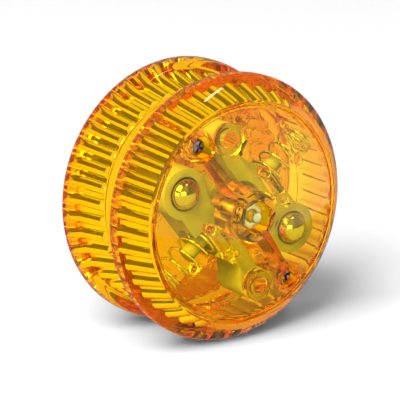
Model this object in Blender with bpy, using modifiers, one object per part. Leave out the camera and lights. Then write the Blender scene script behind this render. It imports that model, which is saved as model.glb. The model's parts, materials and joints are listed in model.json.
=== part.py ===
"""Clutch yo-yo: two clear moulded halves on a steel axle, with a centrifugal clutch in the front half.

The origin is the middle of the string gap, on the axle. The axle lies along Y, the clutch half faces
-Y and Z is up. Each half is modelled in a frame of its own, which an empty carries: its Z, called the
height below, runs out along the axle from the middle of the gap, its X runs along the two clutch
springs, and its Y runs through the two screws.
"""

import math

import bmesh
import bpy
from mathutils import Matrix, Vector

MM = 0.001

# Driving dimensions. The clutch angle is how far the springs are turned up from level.
RIM_RADIUS = 28.5 * MM
HALF_WIDTH = 19.5 * MM
GAP_HALF = 1.3 * MM
CLUTCH_ANGLE = math.radians(35.0)
CLEARANCE = 0.3 * MM

# Shell: the gap wall is flat, flares out on one arc and turns into the rim on a smaller one
FLAT_RADIUS = 15.0 * MM
RIM_ROUNDING = 4.0 * MM
CREST_LOW = 8.7 * MM
CREST_HIGH = 10.1 * MM
MOUTH_HEIGHT = 14.75 * MM
MOUTH_RADIUS = 23.6 * MM
SHOULDER_POWER = 1.2
FLOOR_THICKNESS = 1.5 * MM
CAVITY_RADIUS = 21.9 * MM
SEAT_RADIUS = 23.2 * MM
LEDGE_HEIGHT = 13.5 * MM

# Flutes in the cavity wall
FLUTE_COUNT = 40
FLUTE_LAND_RADIUS = 22.3 * MM
FLUTE_CENTRE_RADIUS = 21.65 * MM
FLUTE_RADIUS = 1.5 * MM
FLUTE_LOW = 4.2 * MM

# Cap
CAP_RADIUS = SEAT_RADIUS - CLEARANCE
CAP_THICKNESS = 1.8 * MM
CAP_SKIRT = 1.3 * MM
CORE_INSET = 0.1 * MM
DOME_RISE = HALF_WIDTH - MOUTH_HEIGHT
HUB_RADIUS = 5.4 * MM
HUB_LOW = 9.8 * MM
AXLE_HOLE = 1.5 * MM
POCKET_LOW = 15.45 * MM
POCKET_FLATS_LOW = 5.7 * MM
POCKET_FLATS_HIGH = 6.6 * MM
POCKET_TURN = math.radians(15.0)
RIB_THICKNESS = 1.6 * MM
RIB_BITE = 0.6 * MM
BAR_DISTANCE = 8.3 * MM
BAR_POST_OFFSET = 3.7 * MM
BAR_POST_RADIUS = 1.3 * MM
BAR_WEB = 1.8 * MM
BAR_LOW = 13.5 * MM
PEG_DISTANCE = 16.0 * MM
PEG_RADIUS = 1.1 * MM
PEG_LOW = 13.8 * MM

# Screws, on the half's Y axis
SCREW_DISTANCE = 19.3 * MM
PILLAR_RADIUS = 3.3 * MM
PILLAR_HIGH = 11.2 * MM
BOSS_RADIUS = 3.4 * MM
JOIN_BITE = 0.2 * MM
BOSS_LOW = PILLAR_HIGH + CLEARANCE
RIB_LOW = BOSS_LOW + 0.2 * MM
WELL_RADIUS = 2.4 * MM
WELL_LOW = 12.8 * MM
SCREW_HEAD_RADIUS = 2.0 * MM
SCREW_HEAD_HEIGHT = 1.3 * MM
SCREW_SHANK_RADIUS = 1.2 * MM
SCREW_HOLE_RADIUS = SCREW_SHANK_RADIUS + CLEARANCE
SCREW_LOW = 6.5 * MM
RECESS_LENGTH = 2.5 * MM
RECESS_WIDTH = 0.55 * MM
RECESS_DEPTH = 0.8 * MM

# Axle stack
AXLE_RADIUS = 1.2 * MM
AXLE_HALF_LENGTH = 19.3 * MM
AXLE_CHAMFER = 0.3 * MM
NUT_LOW = POCKET_LOW + CLEARANCE
NUT_HEIGHT = 1.8 * MM
NUT_FLATS = 5.0 * MM
SLEEVE_RADIUS = 2.2 * MM
SLEEVE_HALF_LENGTH = HUB_LOW - CLEARANCE
SPOOL_BORE = SLEEVE_RADIUS + CLEARANCE
DRUM_RADIUS = 6.0 * MM
DRUM_HIGH = 8.6 * MM
STRING_SEAT_RADIUS = 3.4 * MM
STRING_SEAT_HALF = GAP_HALF + CLEARANCE
SPOOL_FILLET = 0.8 * MM
COLLAR_RADIUS = 4.5 * MM
COLLAR_END = 3.5 * MM
WASHER_RADIUS = 4.6 * MM
WASHER_THICKNESS = 0.5 * MM
DRUM_HOLE = DRUM_RADIUS + 0.4 * MM
COLLAR_HOLE = COLLAR_RADIUS + 0.4 * MM
REAR_BOSS_RADIUS = 7.0 * MM
REAR_BOSS_STEP = COLLAR_END + CLEARANCE + WASHER_THICKNESS + CLEARANCE
REAR_BOSS_HIGH = 9.4 * MM

# Clutch, in the front half's frame
PIVOT = Vector((6.25, 15.1, 0.0)) * MM
POST_RADIUS = 1.7 * MM
POST_HIGH = 14.0 * MM
SOCKET_RADIUS = 3.4 * MM
SOCKET_HOLE = POST_RADIUS + CLEARANCE
SOCKET_HOLE_HIGH = POST_HIGH + 2 * CLEARANCE
ARM_LOW = 4.8 * MM
ARM_HIGH = 12.6 * MM
EYE_RADIUS = 3.4 * MM
PAD_RADIUS = DRUM_RADIUS + CLEARANCE
BALL_RADIUS = 3.5 * MM
BALL_CENTRE = Vector((7.55, -12.6, 11.4)) * MM
BALL_POCKET_RADIUS = BALL_RADIUS + CLEARANCE
ARM_HEAD_RADIUS = 5.4 * MM
ARM_BACK = [
    (11.3 * MM, -6.2 * MM),
    (11.2 * MM, -1.0 * MM),
    (10.7 * MM, 2.2 * MM),
    (8.9 * MM, 5.2 * MM),
    (7.4 * MM, 7.6 * MM),
    (6.9 * MM, 9.8 * MM),
]
ARM_NECK = [(3.4 * MM, 9.8 * MM)]
HEAD_START, HEAD_END, HEAD_STEPS = 140.0, 406.0, 16
EYE_START, EYE_END, EYE_STEPS = -40.0, 220.0, 14
PAD_START, PAD_END, PAD_STEPS = 55.0, -50.0, 9
STUB_RADIUS = 1.6 * MM
STUB_END = 14.2 * MM
SPRING_HEIGHT = 9.7 * MM
SPRING_COIL_RADIUS = 3.2 * MM
SPRING_WIRE_RADIUS = 0.3 * MM
SPRING_INNER = 9.2 * MM
SPRING_OUTER = 21.4 * MM
SPRING_CLOSED_PITCH = 0.9 * MM
SPRING_CLOSED_TURNS_INNER = 0.75
SPRING_CLOSED_TURNS_OUTER = 1.5
SPRING_ACTIVE_TURNS = 3.5
SPRING_POCKET_RADIUS = 3.8 * MM
SPRING_POCKET_INNER = SPRING_INNER - SPRING_WIRE_RADIUS - CLEARANCE
SPRING_POCKET_LENGTH = 5.0 * MM

# Facets, and how far a cutter reaches past what it cuts
TURNED_STEPS = 60
SPOOL_STEPS = 32
SMALL_STEPS = 24
PIN_STEPS = 16
SHOULDER_STEPS = 4
DOME_STEPS = 4
COIL_STEPS = 10
BALL_SEGMENTS = 20
BALL_RINGS = 10
OVERSHOOT = 1.0 * MM

AMBER = (0.95, 0.50, 0.04)
STEEL = (0.62, 0.62, 0.60)
ACETAL = (0.90, 0.88, 0.70)
NYLON = (0.85, 0.84, 0.78)


def start_scene():
    for obj in list(bpy.data.objects):
        bpy.data.objects.remove(obj)
    made = []
    for name in ("clutch_yo_yo", "cutters"):
        collection = bpy.data.collections.new(name)
        bpy.context.scene.collection.children.link(collection)
        made.append(collection)
    return made


PARTS, CUTTERS = start_scene()


def material(name, colour, roughness, metallic=0.0, transmission=0.0):
    made = bpy.data.materials.new(name)
    made.use_nodes = True
    shader = made.node_tree.nodes["Principled BSDF"]
    shader.inputs["Base Color"].default_value = (*colour, 1.0)
    shader.inputs["Roughness"].default_value = roughness
    shader.inputs["Metallic"].default_value = metallic
    shader.inputs["Transmission Weight"].default_value = transmission
    made.diffuse_color = (*colour, 1.0)
    return made


def amber(name):
    return material(name, AMBER, 0.05, transmission=0.9)


def steel(name):
    return material(name, STEEL, 0.2, metallic=1.0)


def as_cutter(obj):
    CUTTERS.objects.link(obj)
    obj.hide_render = True
    obj.display_type = "WIRE"
    return obj


def as_part(obj, look, frame):
    """Puts a finished piece in the yo-yo's collection, in the frame of one half."""
    PARTS.objects.link(obj)
    obj.data.materials.append(look)
    obj.parent = frame
    return obj


def combine(target, tool, operation):
    modifier = target.modifiers.new(f"{operation.lower()}_{tool.name}", "BOOLEAN")
    modifier.operation = operation
    modifier.object = tool
    modifier.solver = "EXACT"


def place(obj, frame, location=(0.0, 0.0, 0.0), turn=0.0):
    obj.parent = frame
    obj.location = location
    obj.rotation_euler = (0.0, 0.0, turn)
    return obj


def arc(centre, radius, start, end, steps):
    """Points on a circle from one angle in degrees to another, both ends included."""
    angles = [math.radians(start + (end - start) * i / steps) for i in range(steps + 1)]
    return [(centre[0] + radius * math.cos(a), centre[1] + radius * math.sin(a)) for a in angles]


def turned(name, profile, steps=TURNED_STEPS, closed=True):
    """A solid turned about Z from (radius, height) points that run down its outer side."""
    mesh = bpy.data.meshes.new(name)
    edges = [(i, i + 1) for i in range(len(profile) - 1)]
    if closed:
        edges.append((len(profile) - 1, 0))
    mesh.from_pydata([(radius, 0.0, height) for radius, height in profile], edges, [])
    obj = bpy.data.objects.new(name, mesh)
    screw = obj.modifiers.new("turn", "SCREW")
    screw.steps = steps
    screw.render_steps = steps
    screw.use_merge_vertices = True
    screw.merge_threshold = 0.00001
    screw.use_smooth_shade = True
    return obj


def cone(name, radius_low, radius_high, low, high, centre=(0.0, 0.0), sides=SMALL_STEPS, turn=0.0):
    mesh = bpy.data.meshes.new(name)
    shape = bmesh.new()
    middle = Matrix.Translation((centre[0], centre[1], (low + high) / 2))
    bmesh.ops.create_cone(
        shape,
        cap_ends=True,
        segments=sides,
        radius1=radius_low,
        radius2=radius_high,
        depth=high - low,
        matrix=middle @ Matrix.Rotation(turn, 4, "Z"),
    )
    shape.to_mesh(mesh)
    shape.free()
    return bpy.data.objects.new(name, mesh)


def cylinder(name, radius, low, high, centre=(0.0, 0.0), sides=SMALL_STEPS):
    return cone(name, radius, radius, low, high, centre, sides, math.pi / sides)


def block(name, low, high):
    """A box between two corners."""
    mesh = bpy.data.meshes.new(name)
    shape = bmesh.new()
    size = Vector(high) - Vector(low)
    middle = (Vector(high) + Vector(low)) / 2
    scale = Matrix.Diagonal((*size, 1.0))
    bmesh.ops.create_cube(shape, size=1.0, matrix=Matrix.Translation(middle) @ scale)
    shape.to_mesh(mesh)
    shape.free()
    return bpy.data.objects.new(name, mesh)


def flat_outline(name, points, low, high):
    """A plate with the given outline between two heights, as a mesh."""
    curve = bpy.data.curves.new(name, "CURVE")
    curve.dimensions = "2D"
    curve.fill_mode = "BOTH"
    curve.extrude = (high - low) / 2
    spline = curve.splines.new("POLY")
    spline.points.add(len(points) - 1)
    for target, (x, y) in zip(spline.points, points):
        target.co = (x, y, 0.0, 1.0)
    spline.use_cyclic_u = True
    drawn = bpy.data.objects.new(name, curve)
    CUTTERS.objects.link(drawn)
    graph = bpy.context.evaluated_depsgraph_get()
    mesh = bpy.data.meshes.new_from_object(drawn.evaluated_get(graph))
    bpy.data.objects.remove(drawn)
    shape = bmesh.new()
    shape.from_mesh(mesh)
    bmesh.ops.remove_doubles(shape, verts=shape.verts, dist=0.000001)
    bmesh.ops.translate(shape, verts=shape.verts, vec=(0.0, 0.0, (low + high) / 2))
    bmesh.ops.recalc_face_normals(shape, faces=shape.faces)
    shape.to_mesh(mesh)
    shape.free()
    return bpy.data.objects.new(name, mesh)


def half_frame(name, tilt, turn):
    frame = bpy.data.objects.new(name, None)
    PARTS.objects.link(frame)
    frame.rotation_euler = (tilt, turn, 0.0)
    return frame


# Shells


def flare_radius():
    """Radius of the arc that leaves the flat gap wall and runs into the rim's rounding."""
    across = RIM_RADIUS - RIM_ROUNDING - FLAT_RADIUS
    up = CREST_LOW - GAP_HALF
    return (across**2 + up**2 - RIM_ROUNDING**2) / (2 * (up - RIM_ROUNDING))


def flare_turn():
    """Angle in degrees that the gap wall has turned through where the rim's rounding takes over."""
    across = RIM_RADIUS - RIM_ROUNDING - FLAT_RADIUS
    return math.degrees(math.asin(across / (flare_radius() - RIM_ROUNDING)))


def shell_outside(hole):
    """The outer side, from the mouth over the shoulder and the rim down to the centre hole."""
    points = []
    for i in range(SHOULDER_STEPS + 1):
        t = math.pi / 2 * (1 - i / SHOULDER_STEPS)
        radius = MOUTH_RADIUS + (RIM_RADIUS - MOUTH_RADIUS) * math.cos(t) ** (2 / SHOULDER_POWER)
        height = CREST_HIGH + (MOUTH_HEIGHT - CREST_HIGH) * math.sin(t) ** (2 / SHOULDER_POWER)
        points.append((radius, height))
    turn = flare_turn()
    points += arc((RIM_RADIUS - RIM_ROUNDING, CREST_LOW), RIM_ROUNDING, 0.0, turn - 90.0, 3)
    points += arc((FLAT_RADIUS, GAP_HALF + flare_radius()), flare_radius(), turn - 90.0, -90.0, 2)[1:]
    points.append((hole, GAP_HALF))
    return points


def shell_inside():
    """The inner side, from the edge of the flat floor out to the wall and up to the mouth."""
    radius = flare_radius() - FLOOR_THICKNESS
    turn = math.degrees(math.asin((CAVITY_RADIUS - FLAT_RADIUS) / radius))
    points = arc((FLAT_RADIUS, GAP_HALF + flare_radius()), radius, -90.0, turn - 90.0, 2)
    points.append((CAVITY_RADIUS, LEDGE_HEIGHT))
    points.append((SEAT_RADIUS, LEDGE_HEIGHT))
    points.append((SEAT_RADIUS, MOUTH_HEIGHT))
    return points


def flute_cutter(name):
    """A prism with one lobe for each flute. It opens the cavity wall to the lands between them."""
    pitch = 360.0 / FLUTE_COUNT
    reach = (FLUTE_CENTRE_RADIUS**2 + FLUTE_LAND_RADIUS**2 - FLUTE_RADIUS**2) / (
        2 * FLUTE_CENTRE_RADIUS * FLUTE_LAND_RADIUS
    )
    edge = math.acos(reach)
    side = FLUTE_LAND_RADIUS * math.sin(edge)
    out = FLUTE_LAND_RADIUS * math.cos(edge) - FLUTE_CENTRE_RADIUS
    opening = math.degrees(math.atan2(side, out))
    points = []
    for i in range(FLUTE_COUNT):
        angle = pitch * (i + 0.5)
        turn = math.radians(angle)
        centre = (FLUTE_CENTRE_RADIUS * math.cos(turn), FLUTE_CENTRE_RADIUS * math.sin(turn))
        points += arc(centre, FLUTE_RADIUS, angle - opening, angle + opening, 3)
    return as_cutter(flat_outline(name, points, FLUTE_LOW, LEDGE_HEIGHT + OVERSHOOT))


def shell(name, frame, profile, look):
    """A shell with its flutes, screw pillars and the pockets over them that the cap's bosses enter."""
    obj = as_part(turned(name, profile), look, frame)
    cutter = place(flute_cutter(f"{name}_flutes"), frame)
    combine(obj, cutter, "DIFFERENCE")
    pillar_low = GAP_HALF + FLOOR_THICKNESS - JOIN_BITE
    for side, tag in ((1, "upper"), (-1, "lower")):
        centre = (0.0, side * SCREW_DISTANCE)
        pillar = cylinder(f"{name}_pillar_{tag}", PILLAR_RADIUS, pillar_low, PILLAR_HIGH, centre)
        pocket = cylinder(
            f"{name}_pocket_{tag}",
            BOSS_RADIUS + CLEARANCE,
            PILLAR_HIGH,
            LEDGE_HEIGHT + OVERSHOOT,
            centre,
        )
        hole = cylinder(
            f"{name}_pilot_{tag}",
            SCREW_HOLE_RADIUS,
            SCREW_LOW - CLEARANCE,
            PILLAR_HIGH + OVERSHOOT,
            centre,
            sides=PIN_STEPS,
        )
        for tool, operation in ((pillar, "UNION"), (pocket, "DIFFERENCE"), (hole, "DIFFERENCE")):
            place(as_cutter(tool), frame)
            combine(obj, tool, operation)
    return obj


def front_shell(frame):
    floor = (DRUM_HOLE, GAP_HALF + FLOOR_THICKNESS)
    profile = shell_outside(DRUM_HOLE) + [floor] + shell_inside()
    obj = shell("front_shell", frame, profile, amber("front_shell_amber"))
    for side, tag in ((1, "upper"), (-1, "lower")):
        post = cylinder(
            f"front_shell_post_{tag}",
            POST_RADIUS,
            GAP_HALF + FLOOR_THICKNESS - OVERSHOOT,
            POST_HIGH,
            (side * PIVOT.x, side * PIVOT.y),
            sides=PIN_STEPS,
        )
        place(as_cutter(post), frame)
        combine(obj, post, "UNION")


def rear_shell(frame):
    """The rear floor carries a boss whose counterbore takes the spool's collar and its washer."""
    boss = [
        (COLLAR_HOLE, REAR_BOSS_STEP),
        (SPOOL_BORE, REAR_BOSS_STEP),
        (SPOOL_BORE, REAR_BOSS_HIGH),
        (REAR_BOSS_RADIUS, REAR_BOSS_HIGH),
        (REAR_BOSS_RADIUS, GAP_HALF + FLOOR_THICKNESS),
    ]
    profile = shell_outside(COLLAR_HOLE) + boss + shell_inside()
    shell("rear_shell", frame, profile, amber("rear_shell_amber"))


# Caps


def dome(radius):
    return MOUTH_HEIGHT + DOME_RISE * (1 - (radius / SEAT_RADIUS) ** 2)


def dome_points(start, end, drop):
    radii = [start + (end - start) * i / DOME_STEPS for i in range(DOME_STEPS + 1)]
    return [(radius, dome(radius) - drop) for radius in radii]


def cap_core(name, frame):
    """All that lies below the middle of the dome's thickness. It trims what hangs from the dome."""
    top = dome_points(0.0, CAP_RADIUS - CORE_INSET, CAP_THICKNESS / 2)
    low = HUB_LOW - OVERSHOOT
    profile = top + [(CAP_RADIUS - CORE_INSET, low), (0.0, low)]
    return place(as_cutter(turned(name, profile, closed=False)), frame)


def cap_hangers(name, with_guides):
    """Bosses and ribs under the dome, and in the clutch half the arm sockets, bars and pegs too."""
    top = HALF_WIDTH + OVERSHOOT
    tools = []
    for side, tag in ((1, "upper"), (-1, "lower")):
        centre = (0.0, side * SCREW_DISTANCE)
        tools.append(cylinder(f"{name}_boss_{tag}", BOSS_RADIUS, BOSS_LOW, top, centre))
        ends = sorted((side * (HUB_RADIUS - RIB_BITE), side * (SCREW_DISTANCE - BOSS_RADIUS + RIB_BITE)))
        low = (-RIB_THICKNESS / 2, ends[0], RIB_LOW)
        high = (RIB_THICKNESS / 2, ends[1], top)
        tools.append(block(f"{name}_rib_{tag}", low, high))
        if not with_guides:
            continue
        pivot = (side * PIVOT.x, side * PIVOT.y)
        tools.append(cylinder(f"{name}_socket_{tag}", SOCKET_RADIUS, ARM_HIGH + CLEARANCE, top, pivot))
        peg = (side * PEG_DISTANCE, 0.0)
        tools.append(cylinder(f"{name}_peg_{tag}", PEG_RADIUS, PEG_LOW, top, peg, sides=PIN_STEPS))
        middle = side * BAR_DISTANCE
        low = (middle - BAR_WEB / 2, -BAR_POST_OFFSET, BAR_LOW + CLEARANCE)
        high = (middle + BAR_WEB / 2, BAR_POST_OFFSET, top)
        tools.append(block(f"{name}_bar_{tag}", low, high))
        for end in (-1, 1):
            centre = (middle, end * BAR_POST_OFFSET)
            post = f"{name}_bar_{tag}_post_{'inner' if end < 0 else 'outer'}"
            tools.append(cylinder(post, BAR_POST_RADIUS, BAR_LOW, top, centre, sides=PIN_STEPS))
    return tools


def cap_cuts(name, with_guides):
    """The nut's pocket, the screw wells and their holes, and the sockets' blind holes."""
    top = HALF_WIDTH + OVERSHOOT
    draft = (POCKET_FLATS_HIGH - POCKET_FLATS_LOW) / (HALF_WIDTH - POCKET_LOW)
    flats_top = POCKET_FLATS_HIGH + draft * OVERSHOOT
    corner = 1 / math.sqrt(3)
    pocket = cone(
        f"{name}_pocket",
        POCKET_FLATS_LOW * corner,
        flats_top * corner,
        POCKET_LOW,
        top,
        sides=6,
        turn=POCKET_TURN,
    )
    tools = [pocket]
    for side, tag in ((1, "upper"), (-1, "lower")):
        centre = (0.0, side * SCREW_DISTANCE)
        tools.append(cylinder(f"{name}_well_{tag}", WELL_RADIUS, WELL_LOW, top, centre, sides=PIN_STEPS))
        low = BOSS_LOW - OVERSHOOT
        tools.append(cylinder(f"{name}_hole_{tag}", SCREW_HOLE_RADIUS, low, top, centre, sides=PIN_STEPS))
        if with_guides:
            pivot = (side * PIVOT.x, side * PIVOT.y)
            low = ARM_HIGH - OVERSHOOT
            hole = cylinder(f"{name}_bore_{tag}", SOCKET_HOLE, low, SOCKET_HOLE_HIGH, pivot, sides=PIN_STEPS)
            tools.append(hole)
    return tools


def cap(name, frame, with_guides):
    skirt = CAP_RADIUS - CAP_SKIRT
    profile = [(AXLE_HOLE, HALF_WIDTH), (HUB_RADIUS, HALF_WIDTH)]
    profile += dome_points(HUB_RADIUS, CAP_RADIUS, 0.0)
    profile += [(CAP_RADIUS, LEDGE_HEIGHT + CLEARANCE), (skirt, LEDGE_HEIGHT + CLEARANCE)]
    profile += dome_points(skirt, HUB_RADIUS, CAP_THICKNESS)
    profile += [(HUB_RADIUS, HUB_LOW), (AXLE_HOLE, HUB_LOW)]
    obj = as_part(turned(name, profile), amber(f"{name}_amber"), frame)
    core = cap_core(f"{name}_core", frame)
    for tool in cap_hangers(name, with_guides):
        place(as_cutter(tool), frame)
        combine(tool, core, "INTERSECT")
        combine(obj, tool, "UNION")
    for tool in cap_cuts(name, with_guides):
        place(as_cutter(tool), frame)
        combine(obj, tool, "DIFFERENCE")


# Axle stack


def axle(frame):
    end = AXLE_HALF_LENGTH
    profile = [
        (0.0, end),
        (AXLE_RADIUS - AXLE_CHAMFER, end),
        (AXLE_RADIUS, end - AXLE_CHAMFER),
        (AXLE_RADIUS, AXLE_CHAMFER - end),
        (AXLE_RADIUS - AXLE_CHAMFER, -end),
        (0.0, -end),
    ]
    as_part(turned("axle", profile, PIN_STEPS, closed=False), steel("axle_steel"), frame)


def axle_nut(name, frame):
    corner = NUT_FLATS / math.sqrt(3)
    obj = cone(name, corner, corner, NUT_LOW, NUT_LOW + NUT_HEIGHT, sides=6, turn=POCKET_TURN)
    as_part(obj, steel(f"{name}_steel"), frame)
    low = NUT_LOW - OVERSHOOT
    high = NUT_LOW + NUT_HEIGHT + OVERSHOOT
    hole = cylinder(f"{name}_thread", AXLE_HOLE, low, high, sides=PIN_STEPS)
    place(as_cutter(hole), frame)
    combine(obj, hole, "DIFFERENCE")


def axle_sleeve(frame):
    end = SLEEVE_HALF_LENGTH
    profile = [(SLEEVE_RADIUS, end), (SLEEVE_RADIUS, -end), (AXLE_HOLE, -end), (AXLE_HOLE, end)]
    as_part(turned("axle_sleeve", profile, SMALL_STEPS), steel("axle_sleeve_steel"), frame)


def string_spool(frame):
    """Drum in the clutch half, waist for the string in the gap, collar in the rear half."""
    seat = STRING_SEAT_RADIUS + SPOOL_FILLET
    profile = [(SPOOL_BORE, DRUM_HIGH), (DRUM_RADIUS, DRUM_HIGH), (DRUM_RADIUS, STRING_SEAT_HALF)]
    profile += arc((seat, STRING_SEAT_HALF - SPOOL_FILLET), SPOOL_FILLET, 90.0, 180.0, 2)
    profile += arc((seat, SPOOL_FILLET - STRING_SEAT_HALF), SPOOL_FILLET, 180.0, 270.0, 2)
    profile += [(COLLAR_RADIUS, -STRING_SEAT_HALF), (COLLAR_RADIUS, -COLLAR_END), (SPOOL_BORE, -COLLAR_END)]
    nylon = material("string_spool_nylon", NYLON, 0.45)
    as_part(turned("string_spool", profile, SPOOL_STEPS), nylon, frame)


def thrust_washer(name, frame, low):
    high = low + WASHER_THICKNESS
    profile = [(WASHER_RADIUS, high), (WASHER_RADIUS, low), (SPOOL_BORE, low), (SPOOL_BORE, high)]
    as_part(turned(name, profile, SMALL_STEPS), steel(f"{name}_steel"), frame)


# Clutch


def arm_outline():
    """The arm seen from outside, about its pivot: round head, back, eye, neck and pad on the drum."""
    head = arc((BALL_CENTRE.x, BALL_CENTRE.y), ARM_HEAD_RADIUS, HEAD_START, HEAD_END, HEAD_STEPS)
    eye = arc((PIVOT.x, PIVOT.y), EYE_RADIUS, EYE_START, EYE_END, EYE_STEPS)
    pad = arc((0.0, 0.0), PAD_RADIUS, PAD_START, PAD_END, PAD_STEPS)
    points = head + ARM_BACK + eye + ARM_NECK + pad
    return [(x - PIVOT.x, y - PIVOT.y) for x, y in points]


def clutch_arm(name, frame, side):
    """An arm with its origin on its pivot, and a stub inside its spring.

    The lower arm is the upper one turned half round.
    """
    turn = 0.0 if side > 0 else math.pi
    pivot = side * PIVOT
    plastic = material(f"{name}_plastic", ACETAL, 0.4)
    obj = as_part(flat_outline(name, arm_outline(), ARM_LOW, ARM_HIGH), plastic, frame)
    place(obj, frame, pivot, turn)
    ball = (BALL_CENTRE.x - PIVOT.x, BALL_CENTRE.y - PIVOT.y)
    pocket_low = BALL_CENTRE.z - BALL_RADIUS - CLEARANCE
    eye = cylinder(f"{name}_eye", SOCKET_HOLE, ARM_LOW - OVERSHOOT, ARM_HIGH + OVERSHOOT, sides=PIN_STEPS)
    pocket = cylinder(f"{name}_pocket", BALL_POCKET_RADIUS, pocket_low, ARM_HIGH + OVERSHOOT, ball)
    seat = cylinder(f"{name}_spring_seat", SPRING_POCKET_RADIUS, 0.0, SPRING_POCKET_LENGTH)
    stub_length = STUB_END - SPRING_POCKET_INNER
    stub = cylinder(f"{name}_stub", STUB_RADIUS, -JOIN_BITE, stub_length, sides=PIN_STEPS)
    for tool in (eye, pocket):
        place(as_cutter(tool), frame, pivot, turn)
        combine(obj, tool, "DIFFERENCE")
    for tool, operation in ((seat, "DIFFERENCE"), (stub, "UNION")):
        as_cutter(tool)
        tool.parent = frame
        tool.location = (side * SPRING_POCKET_INNER, 0.0, SPRING_HEIGHT)
        tool.rotation_euler = (0.0, side * math.pi / 2, 0.0)
        combine(obj, tool, operation)


def weight_ball(name, frame, side):
    mesh = bpy.data.meshes.new(name)
    shape = bmesh.new()
    bmesh.ops.create_uvsphere(
        shape,
        u_segments=BALL_SEGMENTS,
        v_segments=BALL_RINGS,
        radius=BALL_RADIUS,
    )
    for face in shape.faces:
        face.smooth = True
    shape.to_mesh(mesh)
    shape.free()
    obj = as_part(bpy.data.objects.new(name, mesh), steel(f"{name}_steel"), frame)
    place(obj, frame, (side * BALL_CENTRE.x, side * BALL_CENTRE.y, BALL_CENTRE.z))


def spring_points():
    """A helix along X with closed end coils, its points evenly spaced in angle."""
    closed = (SPRING_CLOSED_TURNS_INNER + SPRING_CLOSED_TURNS_OUTER) * SPRING_CLOSED_PITCH
    open_pitch = (SPRING_OUTER - SPRING_INNER - closed) / SPRING_ACTIVE_TURNS
    turns = SPRING_CLOSED_TURNS_INNER + SPRING_ACTIVE_TURNS + SPRING_CLOSED_TURNS_OUTER
    count = round(turns * COIL_STEPS)
    x = SPRING_INNER
    points = []
    for i in range(count + 1):
        turn = i / COIL_STEPS
        angle = 2 * math.pi * turn
        points.append((x, SPRING_COIL_RADIUS * math.cos(angle), SPRING_COIL_RADIUS * math.sin(angle)))
        is_open = SPRING_CLOSED_TURNS_INNER <= turn < turns - SPRING_CLOSED_TURNS_OUTER
        x += (open_pitch if is_open else SPRING_CLOSED_PITCH) / COIL_STEPS
    return points


def clutch_spring(name, frame, side):
    curve = bpy.data.curves.new(name, "CURVE")
    curve.dimensions = "3D"
    curve.bevel_depth = SPRING_WIRE_RADIUS
    curve.bevel_resolution = 2
    curve.use_fill_caps = True
    points = spring_points()
    spline = curve.splines.new("POLY")
    spline.points.add(len(points) - 1)
    for target, (x, y, z) in zip(spline.points, points):
        target.co = (x, y, z, 1.0)
    obj = as_part(bpy.data.objects.new(name, curve), steel(f"{name}_steel"), frame)
    place(obj, frame, (0.0, 0.0, SPRING_HEIGHT), 0.0 if side > 0 else math.pi)


# Screws


def screw(name, frame, side):
    """A pan-head screw on its own axis, with a cross recess."""
    low = WELL_LOW + CLEARANCE
    high = low + SCREW_HEAD_HEIGHT
    round_over = SCREW_HEAD_HEIGHT / 2
    profile = [(0.0, high)]
    profile += arc((SCREW_HEAD_RADIUS - round_over, high - round_over), round_over, 90.0, 0.0, 2)
    profile += [(SCREW_HEAD_RADIUS, low), (SCREW_SHANK_RADIUS, low)]
    profile += [(SCREW_SHANK_RADIUS, SCREW_LOW + SCREW_SHANK_RADIUS), (0.0, SCREW_LOW)]
    obj = as_part(turned(name, profile, PIN_STEPS, closed=False), steel(f"{name}_steel"), frame)
    location = (0.0, side * SCREW_DISTANCE, 0.0)
    place(obj, frame, location)
    for length, width, tag in ((RECESS_LENGTH, RECESS_WIDTH, "x"), (RECESS_WIDTH, RECESS_LENGTH, "y")):
        corner = Vector((length / 2, width / 2, 0.0))
        bottom = Vector((0.0, 0.0, high - RECESS_DEPTH))
        top = Vector((0.0, 0.0, high + OVERSHOOT))
        tool = as_cutter(block(f"{name}_recess_{tag}", bottom - corner, top + corner))
        place(tool, frame, location)
        combine(obj, tool, "DIFFERENCE")


def build():
    front = half_frame("front_half", math.pi / 2, -CLUTCH_ANGLE)
    rear = half_frame("rear_half", -math.pi / 2, CLUTCH_ANGLE + math.pi)
    front_shell(front)
    cap("front_cap", front, with_guides=True)
    rear_shell(rear)
    cap("rear_cap", rear, with_guides=False)
    axle(front)
    axle_nut("front_axle_nut", front)
    axle_nut("rear_axle_nut", rear)
    axle_sleeve(front)
    string_spool(front)
    thrust_washer("front_thrust_washer", front, DRUM_HIGH + CLEARANCE)
    thrust_washer("rear_thrust_washer", rear, COLLAR_END + CLEARANCE)
    for side, tag in ((1, "upper"), (-1, "lower")):
        clutch_arm(f"clutch_arm_{tag}", front, side)
        weight_ball(f"weight_ball_{tag}", front, side)
        clutch_spring(f"clutch_spring_{tag}", front, side)
        screw(f"front_screw_{tag}", front, side)
        screw(f"rear_screw_{tag}", rear, side)


build()
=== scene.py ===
"""Looks of the clutch yo-yo: clear amber mouldings over a sprung clutch and a steel axle.

Lengths are metres. Each half is modelled in a frame of its own: its Z, called the height, runs out along
the axle from the middle of the string gap, its X runs along the clutch springs, and its Y runs through
the two screws. FRONT and REAR carry those frames into the row frame.
"""

import json
import math

import bmesh
import bpy
from mathutils import Matrix, Vector

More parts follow.
